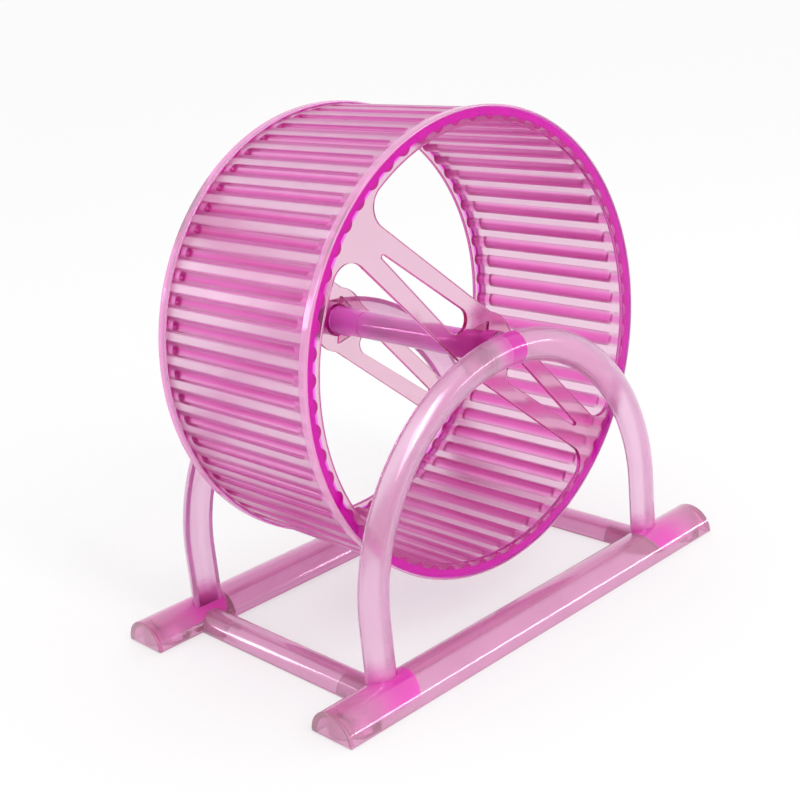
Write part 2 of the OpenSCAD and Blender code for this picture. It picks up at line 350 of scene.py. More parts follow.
def ribSector():
    pitch = 2 * math.pi / drum["ribs"]
    half = pitch * drumR / 2
    side = drum["fromMiddle"]
    across = [-half] + [-s * mm for s in reversed(side[1:])] + [s * mm for s in side] + [half]
    along = [drumHalf - drum["grooveEnd"] - s * mm for s in drum["fromEnd"]]
    innerR = drumR - drum["wall"]
    e = drum["endRound"]
    end = drumHalf - touching
    bow = 0.3  # how far in from both sides the middle of a corner's round lies
    # (which skin, y, share of the round that is taken away)
    rows = [("out", -end + e * bow, bow), ("out", -end + e, 0)] + [("out", -y, 0) for y in reversed(along)]
    rows += [("out", 0, 0)] + [("out", y, 0) for y in along]
    rows += [("out", end - e, 0), ("out", end - e * bow, bow)]
    rows += [("out", end, 1), ("in", end, 1), ("in", end - e * bow, bow), ("in", end - e, 0), ("in", 0, 0)]
    rows += [("in", -end + e, 0), ("in", -end + e * bow, bow), ("in", -end, 1), ("out", -end, 1)]
    points, faces = [], []
    for s in across:
        a = s / drumR
        for skin, y, worn in rows:
            if skin == "out":
                r = drumR - grooveDepthAt(s, y) - worn * e
            else:
                r = innerR - ribHeightAt(s * innerR / drumR) + worn * e
            points.append((r * math.cos(a), y, r * math.sin(a)))
    n = len(rows)
    for i in range(len(across) - 1):
        a, b = i * n, (i + 1) * n
        faces += [(a + k, a + (k + 1) % n, b + (k + 1) % n, b + k) for k in range(n)]
    return newPiece("rib_sector", points, faces)


def makeDrum(material, paintedDeepMaterial, paintedDeepAt):
    tree = roundArrayTree()
    made = applyTree(ribSector(), tree, {
        "Copies": drum["ribs"], "Axle": tuple(axle), "Seam": drum["seam"], "Material": material})
    made.data.transform(Matrix.Translation(axle) @ Matrix.Rotation(-math.radians(drum["ribTurn"]), 4, "Y")
                        @ Matrix.Translation(-axle))
    finished(welded(made, drum["seam"]), "running_drum_ribbed", "wheel", "running_drum",
             material, paintedDeepMaterial, paintedDeepAt, drum["smoothUpTo"])


# Hub bushes and axle pins

fitting = dict(
    flange=1.2 * mm, flangeWidth=1.6 * mm, edge=0.25 * mm,
    runs=0.08 * mm, play=0.03 * mm, bushSteps=72, pinSteps=48)


def makeBush():
    inner, flangeR = boreR + fitting["runs"], (bushHigh.z - bushLow.z) / 2
    sleeveR = flangeR - fitting["flangeWidth"]
    low, high = -bushHigh.y, -bushLow.y
    step = high - fitting["flange"] + touching
    e = fitting["edge"]
    outline = rounded([(inner, low, e), (sleeveR, low, e), (sleeveR, step, 0), (flangeR, step, e),
                       (flangeR, high, e), (inner, high, e)])
    return turned("bush", outline, fitting["bushSteps"])


def makePin():
    low, high = -pinHigh.y, -pinLow.y
    e = fitting["edge"]
    r = boreR - fitting["play"]
    points = [(r - e, low), (r, low + e), (r, high - e), (r - e, high)]
    return solidTurned("pin", [(0, low), *points, (0, high)])


def solidTurned(name, outline):
    # turns an open outline that starts and ends on the axle
    steps = fitting["pinSteps"]
    points = [(0, outline[0][1], axle.z), (0, outline[-1][1], axle.z)]
    between = outline[1:-1]
    n = len(between)
    faces = []
    for i in range(steps):
        a = 2 * math.pi * i / steps
        points += [(r * math.cos(a), y, axle.z + r * math.sin(a)) for r, y in between]
    for i in range(steps):
        a, b = 2 + i * n, 2 + (i + 1) % steps * n
        faces += [(a + k, b + k, b + k + 1, a + k + 1) for k in range(n - 1)]
        faces += [(0, b, a), (1, a + n - 1, b + n - 1)]
    return welded(newPiece(name, points, faces))


def rod(name, radius, low, high):
    return solidTurned(name, [(0, low), (radius, low), (radius, high), (0, high)])


# End plates, with their arms and hubs

spider = dict(
    plate=1.4 * mm, ring=5 * mm, lip=0.8 * mm, lipWidth=3.2 * mm, edge=0.3 * mm,
    armAngle=136.5, armAtHub=19.2 * mm, armAtRim=11.8 * mm, rimRound=6.2 * mm, hubRound=6 * mm,
    disc=6.2 * mm, slotAtHub=7.6 * mm, slotAtRim=1.1 * mm, slotHubGap=7.8 * mm, slotRimGap=12.6 * mm,
    hubWall=0.8 * mm, bossStep=1.1 * mm, bossProud=4.3 * mm, rearHub=12.6 * mm, tubeWall=1.3 * mm,
    spigot=10 * mm, spigotWall=1.5 * mm, bushLength=9 * mm, fit=0.1 * mm,
    fin=3.6 * mm, finLength=5.6 * mm, finThick=1.2 * mm, finAngle=78, seam=0.004 * mm, edgeSteps=2,
    openingSteps=(40, 14, 10, 6), slotSteps=(20, 10), rimSteps=180, hubSteps=72, boreSteps=36)
tubeR = (bushHigh.z - bushLow.z) / 2 - fitting["flangeWidth"] + spider["hubWall"]
plateHalf = drumHalf + spider["plate"]


def openingOutline():
    # the way in above the arms, with the arms lying along X
    openR, discR = wheelR - spider["ring"], tubeR + spider["disc"]
    lean = math.atan((spider["armAtHub"] - spider["armAtRim"]) / 2 / openR)
    edge = spider["armAtHub"] / 2 * math.cos(lean)
    on, off = Vector((math.cos(lean), -math.sin(lean))), Vector((math.sin(lean), math.cos(lean)))

    def corner(reach, radius):
        rise = edge + radius
        return math.sqrt(reach * reach - rise * rise) * on + rise * off

    rim = corner(openR - spider["rimRound"], spider["rimRound"])
    hub = corner(discR + spider["hubRound"], spider["hubRound"])
    rimTurn = math.degrees(math.atan2(rim.y, rim.x))
    hubTurn = math.degrees(math.atan2(hub.y, hub.x))
    onArm = -90 - math.degrees(lean)
    alongRim, roundRim, roundHub, alongDisc = spider["openingSteps"]
    half = arc((0, 0), openR, 90, rimTurn, alongRim)
    half += arc(rim, spider["rimRound"], rimTurn, onArm, roundRim)
    half += arc(hub, spider["hubRound"], onArm, hubTurn - 180, roundHub)
    half += arc((0, 0), discR, hubTurn, 90, alongDisc)
    other = [Vector((-p.x, p.y)) for p in reversed(half)]
    return half + other[1:-1]


def slotOutline():
    # the slot along the middle of an arm, wide at the hub and narrow at the rim
    openR = wheelR - spider["ring"]
    big, small = spider["slotAtHub"] / 2, spider["slotAtRim"] / 2
    near, far = tubeR + spider["slotHubGap"] + big, openR - spider["slotRimGap"] - small
    lean = math.degrees(math.asin((big - small) / (far - near)))
    nearSteps, farSteps = spider["slotSteps"]
    return (arc((near, 0), big, 90 - lean, 270 + lean, nearSteps)
            + arc((far, 0), small, -90 + lean, 90 - lean, farSteps))


def flatPlate(name, outlines, low, high):
    # a plate with rounded edges, drawn in X and Z
    edge = spider["edge"]
    flat = bpy.data.curves.new(name, "CURVE")
    flat.dimensions, flat.fill_mode = "2D", "BOTH"
    for outline in outlines:
        line = flat.splines.new("POLY")
        line.points.add(len(outline) - 1)
        for point, place in zip(line.points, outline):
            point.co = (place.x, place.y, 0, 1)
        line.use_cyclic_u = True
    flat.extrude, flat.offset = (high - low) / 2 - edge, -edge
    flat.bevel_depth, flat.bevel_resolution = edge, spider["edgeSteps"]
    obj = bpy.data.objects.new(name + "_flat", flat)
    bpy.context.scene.collection.objects.link(obj)
    made = asMesh(obj, name)
    middle = Vector((0, (low + high) / 2, axle.z))
    made.data.transform(Matrix.Translation(middle) @ Matrix.Rotation(math.pi / 2, 4, "X"))
    return welded(made, spider["seam"])


def turnedBy(outline, degrees):
    turn = Matrix.Rotation(math.radians(degrees), 2)
    return [turn @ Vector(p) for p in outline]


def hubOutline(rear):
    # the hub's section as (radius, y), y counted towards its own side
    bushOut = tubeR - spider["hubWall"] + touching
    bossR, bossFace = tubeR + spider["bossStep"], plateHalf + spider["bossProud"]
    seat = bossFace - spider["bushLength"] - spider["fit"]
    shoulder = drumHalf - spider["rearHub"]
    bore = tubeR - spider["tubeWall"]
    e = spider["edge"]
    # the outer edge of the boss is rounder than the other edges
    outline = [(bushOut, bossFace, e), (bossR, bossFace, e * 1.5)]
    outline += [(bossR, drumHalf + e, 0), (tubeR, drumHalf + e, 0)]
    if rear:
        spigotR = bore - spider["fit"]
        outline += [(tubeR, shoulder, e), (spigotR, shoulder, 0), (spigotR, shoulder - spider["spigot"], e)]
        inner = spigotR - spider["spigotWall"]
        outline += [(inner, shoulder - spider["spigot"], e), (inner, seat, 0)]
    else:
        end = spider["fit"] - shoulder
        outline += [(tubeR, end, e), (bore, end, e), (bore, seat, 0)]
    return rounded(outline + [(bushOut, seat, 0)])


def makeSpider(name, rear):
    turn = spider["armAngle"]
    outlines = [ring(wheelR, spider["rimSteps"])]
    for half in (0, 180):
        outlines.append(turnedBy(openingOutline(), turn + half))
        outlines.append(turnedBy(slotOutline(), turn + half))
    outlines.append(ring(tubeR - spider["hubWall"] / 2, spider["boreSteps"]))
    made = flatPlate(name, outlines, drumHalf, plateHalf)
    lipInner = wheelR - spider["lip"]
    lipOuter = wheelR - touching
    lipLow = plateHalf - spider["lipWidth"]
    middle = drumHalf + spider["plate"] / 2
    e = spider["edge"]
    lip = turned("lip", rounded([(lipInner, lipLow, e), (lipOuter, lipLow, e), (lipOuter, middle, 0),
                                 (lipInner, middle, 0)]), spider["rimSteps"])
    hub = turned("hub", hubOutline(rear), spider["hubSteps"])
    foot, top = tubeR - spider["hubWall"] / 2, tubeR + spider["fin"]
    inner, outer = drumHalf - spider["finLength"], drumHalf + e
    fins = []
    for half in (0, 180):
        outline = [Vector(p) for p in ((foot, outer), (top, outer), (tubeR, inner), (foot, inner))]
        fin = extruded("fin", outline, -spider["finThick"] / 2, spider["finThick"] / 2)
        # drawn flat, then turned round the axle
        upright = Matrix.Rotation(-math.radians(spider["finAngle"] + half), 4, "Y")
        fin.data.transform(Matrix.Translation(axle) @ upright)
        fins.append(fin)
    made = combined(made, [lip, hub, *fins])
    return made if rear else flipped(made)


# Arches

arch = dict(
    outR=5.2 * mm, wall=1.6 * mm, edge=0.3 * mm, legFoot=2 * mm,
    seatHalf=5 * mm, seatWall=1.8 * mm, seatIn=0.1 * mm, bulkhead=1.8 * mm, coreInset=0.7 * mm,
    bendSteps=120, coreSteps=28)
archFace = -archHigh.y
bendR = archHigh.x - arch["outR"]
springZ = axle.z - bendR


def archPath(foot):
    bend = arc((0, springZ), bendR, 0, 180, arch["bendSteps"])
    return [(bendR, archFace, foot)] + [(p.x, archFace, p.y) for p in bend] + [(-bendR, archFace, foot)]


def makeArch(tree, material):
    outR, inR = arch["outR"], arch["outR"] - arch["wall"]
    outline = channelOutline(outR, inR, arch["edge"])
    made = swept("arch", archPath(arch["legFoot"] + touching), outline, tree, material)
    # seat for the pin: a round boss between two bulkheads, inside the channel
    coreR = outR - arch["coreInset"]
    coreOutline = arc((0, 0), coreR, 0, 180, arch["coreSteps"])
    core = swept("seat_core", archPath(springZ)[1:-1], coreOutline, tree, material)
    near, deep = archFace + arch["seatIn"], archFace + outR
    boss = rod("seat_boss", boreR + arch["seatWall"], near, deep)
    half = arch["bulkhead"] / 2
    walls = []
    for side in (-1, 1):
        x = side * (arch["seatHalf"] - half)
        walls.append(block("seat_wall", (x - half, near, axle.z - outR), (x + half, deep, axle.z + outR)))
    seat = combined(combined(boss, walls), [core], "INTERSECT")
    made = combined(made, [seat])
    bore = rod("pin_bore", boreR + fitting["play"], archFace - outR, -pinLow.y + touching)
    return combined(made, [bore], "DIFFERENCE")


# Foot rails

rail = dict(
    outR=8.2 * mm, wall=1.8 * mm, edge=0.45 * mm, socketWall=2.5 * mm, socketFlat=1.7 * mm,
    socketFloor=2 * mm, fit=0.1 * mm, bossD=14 * mm, bossWall=2 * mm, bossIn=9 * mm,
    barOut=1 * mm, barR=5.5 * mm, barWall=1.6 * mm, barEdge=0.3 * mm,
    tenonWall=1.4 * mm, tenonEdge=0.25 * mm,
    skinSteps=36, endSteps=3, domeSteps=40, bossSteps=48, tenonSteps=16)
railY = -railLow.y - rail["outR"]
railHalf = railHigh.x
barX = bendR + rail["barOut"]
tenonTip = -railHigh.y


def halfRound(radius, low):
    # a half circle standing on its flat; its arc stops some degrees short, to leave room for the lower rounds
    short = 8
    top = [(p.x, p.y, 0) for p in arc((0, 0), radius, short, 180 - short, rail["skinSteps"])]
    return rounded([(radius, low, rail["edge"]), *top, (-radius, low, rail["edge"])])


def railBody():
    # stations along X, drawn in a little at each end so that the end edges are rounded
    edge, steps = rail["edge"], rail["endSteps"]
    stations = [(-railHalf + edge * (1 - math.cos(t)), edge * (1 - math.sin(t)))
                for t in [math.pi / 2 * k / steps for k in range(steps + 1)]]
    stations += [(-x, inset) for x, inset in reversed(stations)]
    points, faces = [], []
    for x, inset in stations:
        for p in halfRound(rail["outR"] - inset, inset):
            points.append((x, railY + p.x, p.y))
    n = len(points) // len(stations)
    for i in range(len(stations) - 1):
        a, b = i * n, (i + 1) * n
        faces += [(a + k, a + (k + 1) % n, b + (k + 1) % n, b + k) for k in range(n)]
    faces += [tuple(range(n)), tuple(range(len(points) - n, len(points)))]
    return welded(newPiece("rail", points, faces))


def plainHalfRound(name, half, radius, low):
    outline = [Vector((railY + p.x, p.y)) for p in arc((0, 0), radius, 0, 180, rail["domeSteps"])]
    outline = [Vector((railY + radius, low))] + outline + [Vector((railY - radius, low))]
    points = [(x, p.x, p.y) for x in (-half, half) for p in outline]
    n = len(outline)
    faces = [tuple(range(n)), tuple(range(n, 2 * n))]
    faces += [(i, (i + 1) % n, n + (i + 1) % n, n + i) for i in range(n)]
    return welded(newPiece(name, points, faces))


def legSection(radius, back, side, below):
    # outline round a leg, flat towards the wheel
    x = side * bendR
    bow = [Vector((x + p.x, archFace + back + p.y)) for p in arc((0, 0), radius, 0, 180, rail["domeSteps"])]
    return [Vector((x + radius, archFace - below))] + bow + [Vector((x - radius, archFace - below))]


def post(name, x, radius, low, high):
    # a round post on the middle line of the rail
    outline = [Vector((x + p.x, railY + p.y)) for p in ring(radius, rail["bossSteps"])]
    return extruded(name, outline, low, high)


def makeRail(tree, material):
    hollow = plainHalfRound("hollow", railHalf - rail["wall"], rail["outR"] - rail["wall"], -beyond)
    made = combined(railBody(), [hollow], "DIFFERENCE")
    socketR = arch["outR"] + rail["socketWall"]
    # sockets and bosses end a little above the rail's foot, each at its own height
    insides = []
    for side in (-1, 1):
        outline = legSection(socketR, rail["socketWall"] - rail["socketFlat"], side, rail["socketFlat"])
        insides.append(extruded("socket", outline, rail["edge"] / 2, rail["outR"]))
        x, bossR = side * (railHalf - rail["bossIn"]), rail["bossD"] / 2
        boss = post("boss", x, bossR, rail["edge"] / 3, rail["outR"])
        bore = post("boss_bore", x, bossR - rail["bossWall"], -beyond, rail["outR"] + beyond)
        insides.append(combined(boss, [bore], "DIFFERENCE"))
    inside = combined(insides[0], insides[1:])
    core = plainHalfRound("core", railHalf - rail["wall"] / 2, rail["outR"] - rail["wall"] / 2, -beyond)
    inside = combined(inside, [core], "INTERSECT")
    made = combined(made, [inside])
    root = archFace - rail["socketFlat"] / 2
    tenonR = rail["barR"] - rail["barWall"] - rail["fit"]
    tenon = channelOutline(tenonR, tenonR - rail["tenonWall"], rail["tenonEdge"], rail["tenonSteps"])
    tenons = []
    for side in (-1, 1):
        path = [(side * barX, tenonTip, 0), (side * barX, root, 0)]
        tenons.append(swept("tenon", path, upsideDown(tenon), tree, material))
    made = combined(made, tenons)
    pockets = []
    for side in (-1, 1):
        outline = legSection(arch["outR"] + rail["fit"], 0, side, rail["fit"])
        pockets.append(extruded("pocket", outline, rail["socketFloor"], rail["outR"] + beyond))
    return combined(made, pockets, "DIFFERENCE")


# Cross-bars

def makeBar(side, tree, material):
    outline = channelOutline(rail["barR"], rail["barR"] - rail["barWall"], rail["barEdge"])
    path = [(side * barX, -railY, 0), (side * barX, railY, 0)]
    made = swept("bar", path, upsideDown(outline), tree, material)
    cuts = []
    for end in (-1, 1):
        cut = plainHalfRound("bar_cut", railHalf, rail["outR"] + rail["fit"], -rail["outR"])
        cuts.append(cut if end > 0 else flipped(cut))
    return combined(made, cuts, "DIFFERENCE")


# Clear polystyrene, injection moulded in one pink: glossy, and seen through where it is thin. Deep magenta is
# painted on where light runs a long way inside it, as at end faces, sockets and bosses: painted colour
# standing in for the light caught in the plastic.

def toLinear(hexColour):
    channels = [int(hexColour[i:i + 2], 16) / 255 for i in (1, 3, 5)]
    return tuple(c / 12.92 if c <= 0.04045 else ((c + 0.055) / 1.055) ** 2.4 for c in channels) + (1,)


plastic = dict(
    ior=1.59, coatRough=0.05,
    roughPatch=6 * mm, roughDetail=3, roughSpan=(0.3, 0.7), cloudPatch=14 * mm, cloudDetail=2,
    flowLength=26 * mm, flowWidth=7 * mm, flowHeight=0.012 * mm, flowDetail=1.5)
# Skin and cloud are the colours that the surface lends, shine tints what it mirrors, and absorb is what
# each metre inside takes away. Rib, end, tube, ring, lip, seat, foot and socket are painted deep places,
# colour that stands in
# for light caught in the plastic: the share, colour and clearness that each one has.

# the drum: drawn off a finely matt core, which blurs its gloss and what is seen through it
drumBatch = dict(
    skin="#fbf4f2", cloud="#f8eeee", shine=(1, 0.3, 0.8, 1), rough=(0.28, 0.34), clear=1, coat=0,
    # rib and end are painted deep magenta, standing in for light caught along the grooves, rib tops and drum
    # ends
    absorb=(0.97, 0.0, 0.8, 1), perMetre=125, rib=(0.9, "#ec5cc0", 1), end=(1, "#ee08c4", 0))
# the end plates: polished mould faces, so that thin arms are almost as clear as glass
plateBatch = dict(
    drumBatch, skin="#eee9df", cloud="#ebe5da", rough=(0.06, 0.1), absorb=(0.97, 0.0, 0.84, 1), perMetre=240,
    # tube, ring and lip are painted pinks standing in for light caught in the thick hub tube, in the drum's
    # wall seen end-on through the plate, and in the lip
    tube=(1, "#ff78ee", 0.4), ring=(1, "#ff60ff", 1), lip=(1, "#ffdcf0", 0.6))
# the arches: slightly milky, as thick slow-filled walls come out, under a skin that keeps sharp highlights
archBatch = dict(
    skin="#fdecf4", cloud="#fadeec", shine=(1, 0.6, 0.9, 1), rough=(0.2, 0.26), clear=0.84, coat=0.8,
    # seat and foot are painted deep magenta, standing in for the pin's seat and the leg sockets seen through
    # the arch
    absorb=(0.98, 0.0, 0.87, 1), perMetre=130, seat=(1, "#d404a8", 0.1), foot=(0.8, "#f838d0", 0.3))
# the rails and cross-bars: the same, glossier and pinker
railBatch = dict(
    archBatch, skin="#fbdfec", cloud="#f0c8dc", rough=(0.1, 0.16), clear=0.8,
    # socket is painted deep magenta on the dome, standing in for the leg sockets and bosses seen through it
    absorb=(0.97, 0.0, 0.8, 1), perMetre=260, socket=(0.9, "#f018c0", 0.2))
# the bushes and pins: small and thick, painted deep pink all through, colour standing in for light caught in
# the plastic
fittingBatch = dict(drumBatch, skin="#f8a0e0", cloud="#f498dc", rough=(0.1, 0.15), clear=0.7, perMetre=260)


def clearPolystyrene(name, batch, flowAlong, paintedDeepPlaces=None):
    # flow lines run along the piece as a faint ripple, and gloss and milkiness vary in patches
    material = bpy.data.materials.new(name)
    material.use_nodes = True
    tree = material.node_tree
    tree.nodes.clear()
    place = addNode(tree, "ShaderNodeTexCoord")
    stretched = [1 / plastic["flowWidth"]] * 3
    stretched[flowAlong] = 1 / plastic["flowLength"]
    flow = addNode(tree, "ShaderNodeMapping", {"Vector": place.outputs["Object"], "Scale": stretched})
    ripple = addNode(tree, "ShaderNodeTexNoise", {
        "Vector": flow.outputs[0], "Scale": 1, "Detail": plastic["flowDetail"]})
    bump = addNode(tree, "ShaderNodeBump", {
        "Height": ripple.outputs[0], "Strength": 1, "Distance": plastic["flowHeight"]})
    haze = addNode(tree, "ShaderNodeTexNoise", {
        "Vector": place.outputs["Object"],
        "Scale": 1 / plastic["roughPatch"], "Detail": plastic["roughDetail"]})
    rough = addNode(tree, "ShaderNodeMapRange", {
        "Value": haze.outputs[0], "From Min": plastic["roughSpan"][0], "From Max": plastic["roughSpan"][1],
        "To Min": batch["rough"][0], "To Max": batch["rough"][1]})
    cloud = addNode(tree, "ShaderNodeTexNoise", {
        "Vector": place.outputs["Object"],
        "Scale": 1 / plastic["cloudPatch"], "Detail": plastic["cloudDetail"]})
    skin = mixColours(tree, cloud.outputs[0], toLinear(batch["skin"]), toLinear(batch["cloud"]))
    clear = batch["clear"]
    # painted deep places: colour mixed into the skin that stands in for light caught in the plastic
    paintedPlaces = paintedDeepPlaces(tree, place.outputs["Object"]) if paintedDeepPlaces else ()
    for here, (share, colour, through) in paintedPlaces:
        here = product(tree, here, share)
        skin = mixColours(tree, here, skin, toLinear(colour))
        clear = ramp(tree, here, 0, 1, clear, through)
    surface = addNode(tree, "ShaderNodeBsdfPrincipled", {
        "Base Color": skin, "Roughness": rough.outputs[0], "Normal": bump.outputs[0],
        "IOR": plastic["ior"], "Transmission Weight": clear, "Specular Tint": batch["shine"],
        "Coat Weight": batch["coat"], "Coat Roughness": plastic["coatRough"]})
    inside = addNode(tree, "ShaderNodeVolumeAbsorption", {
        "Color": batch["absorb"], "Density": batch["perMetre"]})
    addNode(tree, "ShaderNodeOutputMaterial", {"Surface": surface.outputs[0], "Volume": inside.outputs[0]})
    return material


def mixColours(tree, factor, first, second):
    # 6 and 7 are the mix node's colours A and B, and output 2 is their mix
    links = {"Factor": factor, 6: first, 7: second}
    return addNode(tree, "ShaderNodeMix", links, data_type="RGBA").outputs[2]


def ramp(tree, value, low, high, atLow, atHigh):
    # a soft step from one level to another
    return addNode(tree, "ShaderNodeMapRange", {
        "Value": value, "From Min": low, "From Max": high, "To Min": atLow, "To Max": atHigh},
        interpolation_type="SMOOTHSTEP").outputs[0]


def reckon(tree, operation, first, second=0):
    return addNode(tree, "ShaderNodeMath", {0: first, 1: second}, operation=operation).outputs[0]


def product(tree, first, *others):
    for other in others:
        first = reckon(tree, "MULTIPLY", first, other)
    return first


def fromAxle(tree, place):
    # distance from the axle, and place along it without its sign
    apart = addNode(tree, "ShaderNodeVectorMath", {0: place, 1: tuple(axle)}, operation="SUBTRACT")
    flat = addNode(tree, "ShaderNodeVectorMath", {0: apart.outputs[0], 1: (1, 0, 1)}, operation="MULTIPLY")
    away = addNode(tree, "ShaderNodeVectorMath", {0: flat.outputs[0]}, operation="LENGTH")
    split = addNode(tree, "ShaderNodeSeparateXYZ", {0: apart.outputs[0]})
    return away.outputs["Value"], reckon(tree, "ABSOLUTE", split.outputs["Y"])


# Where the places begin and end that catch light. A pair holds the two ends of a soft edge.
drumPaintedDeepMask = dict(groove=(1.2 * mm, 0.4 * mm), paintedRibTop=(1.25 * mm, 0.55 * mm))
platePaintedDeepMask = dict(
    tube=(0.1 * mm, 0.6 * mm), tubeAlong=(6 * mm, 24 * mm), tubeMiddle=0.6,
    ring=0.3 * mm, lip=(0.2 * mm, 0.5 * mm))
railPaintedDeepMask = dict(
    height=(2.2 * mm, 4 * mm), edge=0.4 * mm, edgeIn=0.8 * mm, drawnIn=0.55,
    overBoss=0.4, bossEdge=1.5 * mm)
archPaintedDeepMask = dict(
    foot=(7 * mm, 16 * mm), before=9 * mm, middle=-1.5 * mm, share=0.9,
    wall=(-1.4 * mm, -1.1 * mm), edge=0.4 * mm)


def drumPaintedDeep(tree, place):
    # painted deep on the floors of the grooves, and inside the drum on the tops of the ribs, standing in for
    # light caught along them
    away = fromAxle(tree, place)[0]
    inner = drumR - drum["wall"]
    outside = ramp(tree, away, drumR - drumPaintedDeepMask["groove"][0], drumR - drumPaintedDeepMask["groove"][1], 1, 0)
    between = drumR - (drum["wall"] + drum["grooveR"]) / 2
    groove = product(tree, outside, reckon(tree, "GREATER_THAN", away, between))
    paintedRibTop = ramp(tree, away, inner - drumPaintedDeepMask["paintedRibTop"][0], inner - drumPaintedDeepMask["paintedRibTop"][1], 1, 0)
    return [(reckon(tree, "MAXIMUM", groove, paintedRibTop), drumBatch["rib"])]


def platePaintedDeep(tree, place):
    # painted on the tube on the axle, deeper towards its ends, on the ring before the drum's end, and on the
    # lip round that: colour standing in for light caught in the plastic
    away, along = fromAxle(tree, place)
    inner = drumR - drum["wall"]
    tube = product(
        tree, ramp(tree, away, tubeR + platePaintedDeepMask["tube"][0], tubeR + platePaintedDeepMask["tube"][1], 1, 0),
        ramp(tree, along, *platePaintedDeepMask["tubeAlong"], platePaintedDeepMask["tubeMiddle"], 1))
    paintedRing = product(
        tree, ramp(tree, away, inner - platePaintedDeepMask["ring"], inner, 0, 1),
        ramp(tree, away, drumR, drumR + platePaintedDeepMask["ring"], 1, 0))
    lip = ramp(tree, away, drumR + platePaintedDeepMask["lip"][0], drumR + platePaintedDeepMask["lip"][1], 0, 1)
    return [(tube, plateBatch["tube"]), (paintedRing, plateBatch["ring"]), (lip, plateBatch["lip"])]


def railPaintedDeep(tree, place):
    # painted deep on the dome where the leg sockets stand behind its upper part and over the bosses beside
    # them, standing in for them seen through the plastic
    split = addNode(tree, "ShaderNodeSeparateXYZ", {0: place})
    x = reckon(tree, "ABSOLUTE", split.outputs["X"])
    above = ramp(tree, split.outputs["Z"], *railPaintedDeepMask["height"], 0, 1)
    below = reckon(tree, "SUBTRACT", rail["outR"], split.outputs["Z"])
    start = bendR - arch["outR"] - rail["socketWall"] + railPaintedDeepMask["edgeIn"]
    stop = railHalf - rail["bossIn"] + rail["bossD"] / 2
    # the edge towards the rail's middle draws in downwards, and the other end fades over the boss
    within = reckon(tree, "SUBTRACT", x, product(tree, below, railPaintedDeepMask["drawnIn"]))
    near = ramp(tree, within, start - railPaintedDeepMask["edge"], start + railPaintedDeepMask["edge"], 0, 1)
    fade = product(
        tree, ramp(tree, x, bendR, stop, 1, railPaintedDeepMask["overBoss"]),
        ramp(tree, x, stop - railPaintedDeepMask["bossEdge"], stop, 1, 0))
    return [(product(tree, near, fade, above), railBatch["socket"])]


def archPaintedDeep(tree, place):
    # painted deep on the feet of the legs near the sockets and over the seat of the axle pin, standing in for
    # light caught there and for the seat's far wall seen through the arch
    split = addNode(tree, "ShaderNodeSeparateXYZ", {0: place})
    foot = ramp(tree, split.outputs["Z"], *archPaintedDeepMask["foot"], 1, 0)
    # x counts from left to right as seen from the arch's own side
    x = product(tree, split.outputs["X"], reckon(tree, "SIGN", split.outputs["Y"]), -1)
    near = ramp(tree, x, -arch["seatHalf"] - archPaintedDeepMask["before"], archPaintedDeepMask["middle"], 0, archPaintedDeepMask["share"])
    far = ramp(tree, x, *archPaintedDeepMask["wall"], 0, 1 - archPaintedDeepMask["share"])
    seat = product(
        tree, reckon(tree, "ADD", near, far),
        ramp(tree, x, arch["seatHalf"] - archPaintedDeepMask["edge"], arch["seatHalf"], 1, 0),
        reckon(tree, "GREATER_THAN", split.outputs["Z"], axle.z - 2 * arch["outR"]))
    return [(foot, archBatch["foot"]), (seat, archBatch["seat"])]


def paintedDeepAllOver(batch, depth):
    # a batch painted deep all over, standing in for light caught in the plastic
    return dict(batch, skin=depth[1], cloud=depth[1], clear=depth[2], coat=0)


drumPlastic = clearPolystyrene("clear_polystyrene_drum", drumBatch, 1, drumPaintedDeep)
platePlastic = clearPolystyrene("clear_polystyrene_plates", plateBatch, 2, platePaintedDeep)
archPlastic = clearPolystyrene("clear_polystyrene_arches", archBatch, 2, archPaintedDeep)
railPlastic = clearPolystyrene("clear_polystyrene_rails", railBatch, 0, railPaintedDeep)
barPlastic = clearPolystyrene("clear_polystyrene_cross_bars", railBatch, 1)
pinPlastic = clearPolystyrene("clear_polystyrene_fittings", fittingBatch, 1)
# these three are painted deep magenta all over, standing in for light caught at the drum's ends, the axle
# seats and the leg sockets
drumEndsPaintedDeep = clearPolystyrene("clear_polystyrene_drum_ends", paintedDeepAllOver(drumBatch, drumBatch["end"]), 1)
seatWallsPaintedDeep = clearPolystyrene("clear_polystyrene_axle_seats", paintedDeepAllOver(archBatch, archBatch["seat"]), 2)
socketWallsPaintedDeep = clearPolystyrene("clear_polystyrene_leg_sockets", paintedDeepAllOver(railBatch, railBatch["socket"]), 2)


# Faces inside a piece that are painted deep all over, standing in for light caught there, are found by their
# middles and normals
find = dict(
    facing=0.9, sideways=0.2, nearEnd=0.5 * mm, skin=0.4 * mm, lift=0.3 * mm, wide=0.3 * mm,
    wallIn=0.1 * mm, seatWide=0.1 * mm, seatFlat=0.6 * mm)


def onDrumEnd(centre, normal):
    return abs(normal.y) > find["facing"] and abs(centre.y) > drumHalf - find["nearEnd"]


def inSocket(centre, normal):
    # walls of the leg sockets, inside the rail's own skin
    fromMiddle = math.hypot(abs(centre.y) - railY, centre.z)
    socketHalf = arch["outR"] + rail["socketWall"] + find["wide"]
    if (fromMiddle >= rail["outR"] - find["skin"] or centre.z <= find["lift"]
            or abs(abs(centre.x) - bendR) >= socketHalf):
        return False
    return (fromMiddle < rail["outR"] - rail["wall"] - find["wallIn"]
            or abs(normal.x) > find["sideways"] or normal.z > find["facing"])


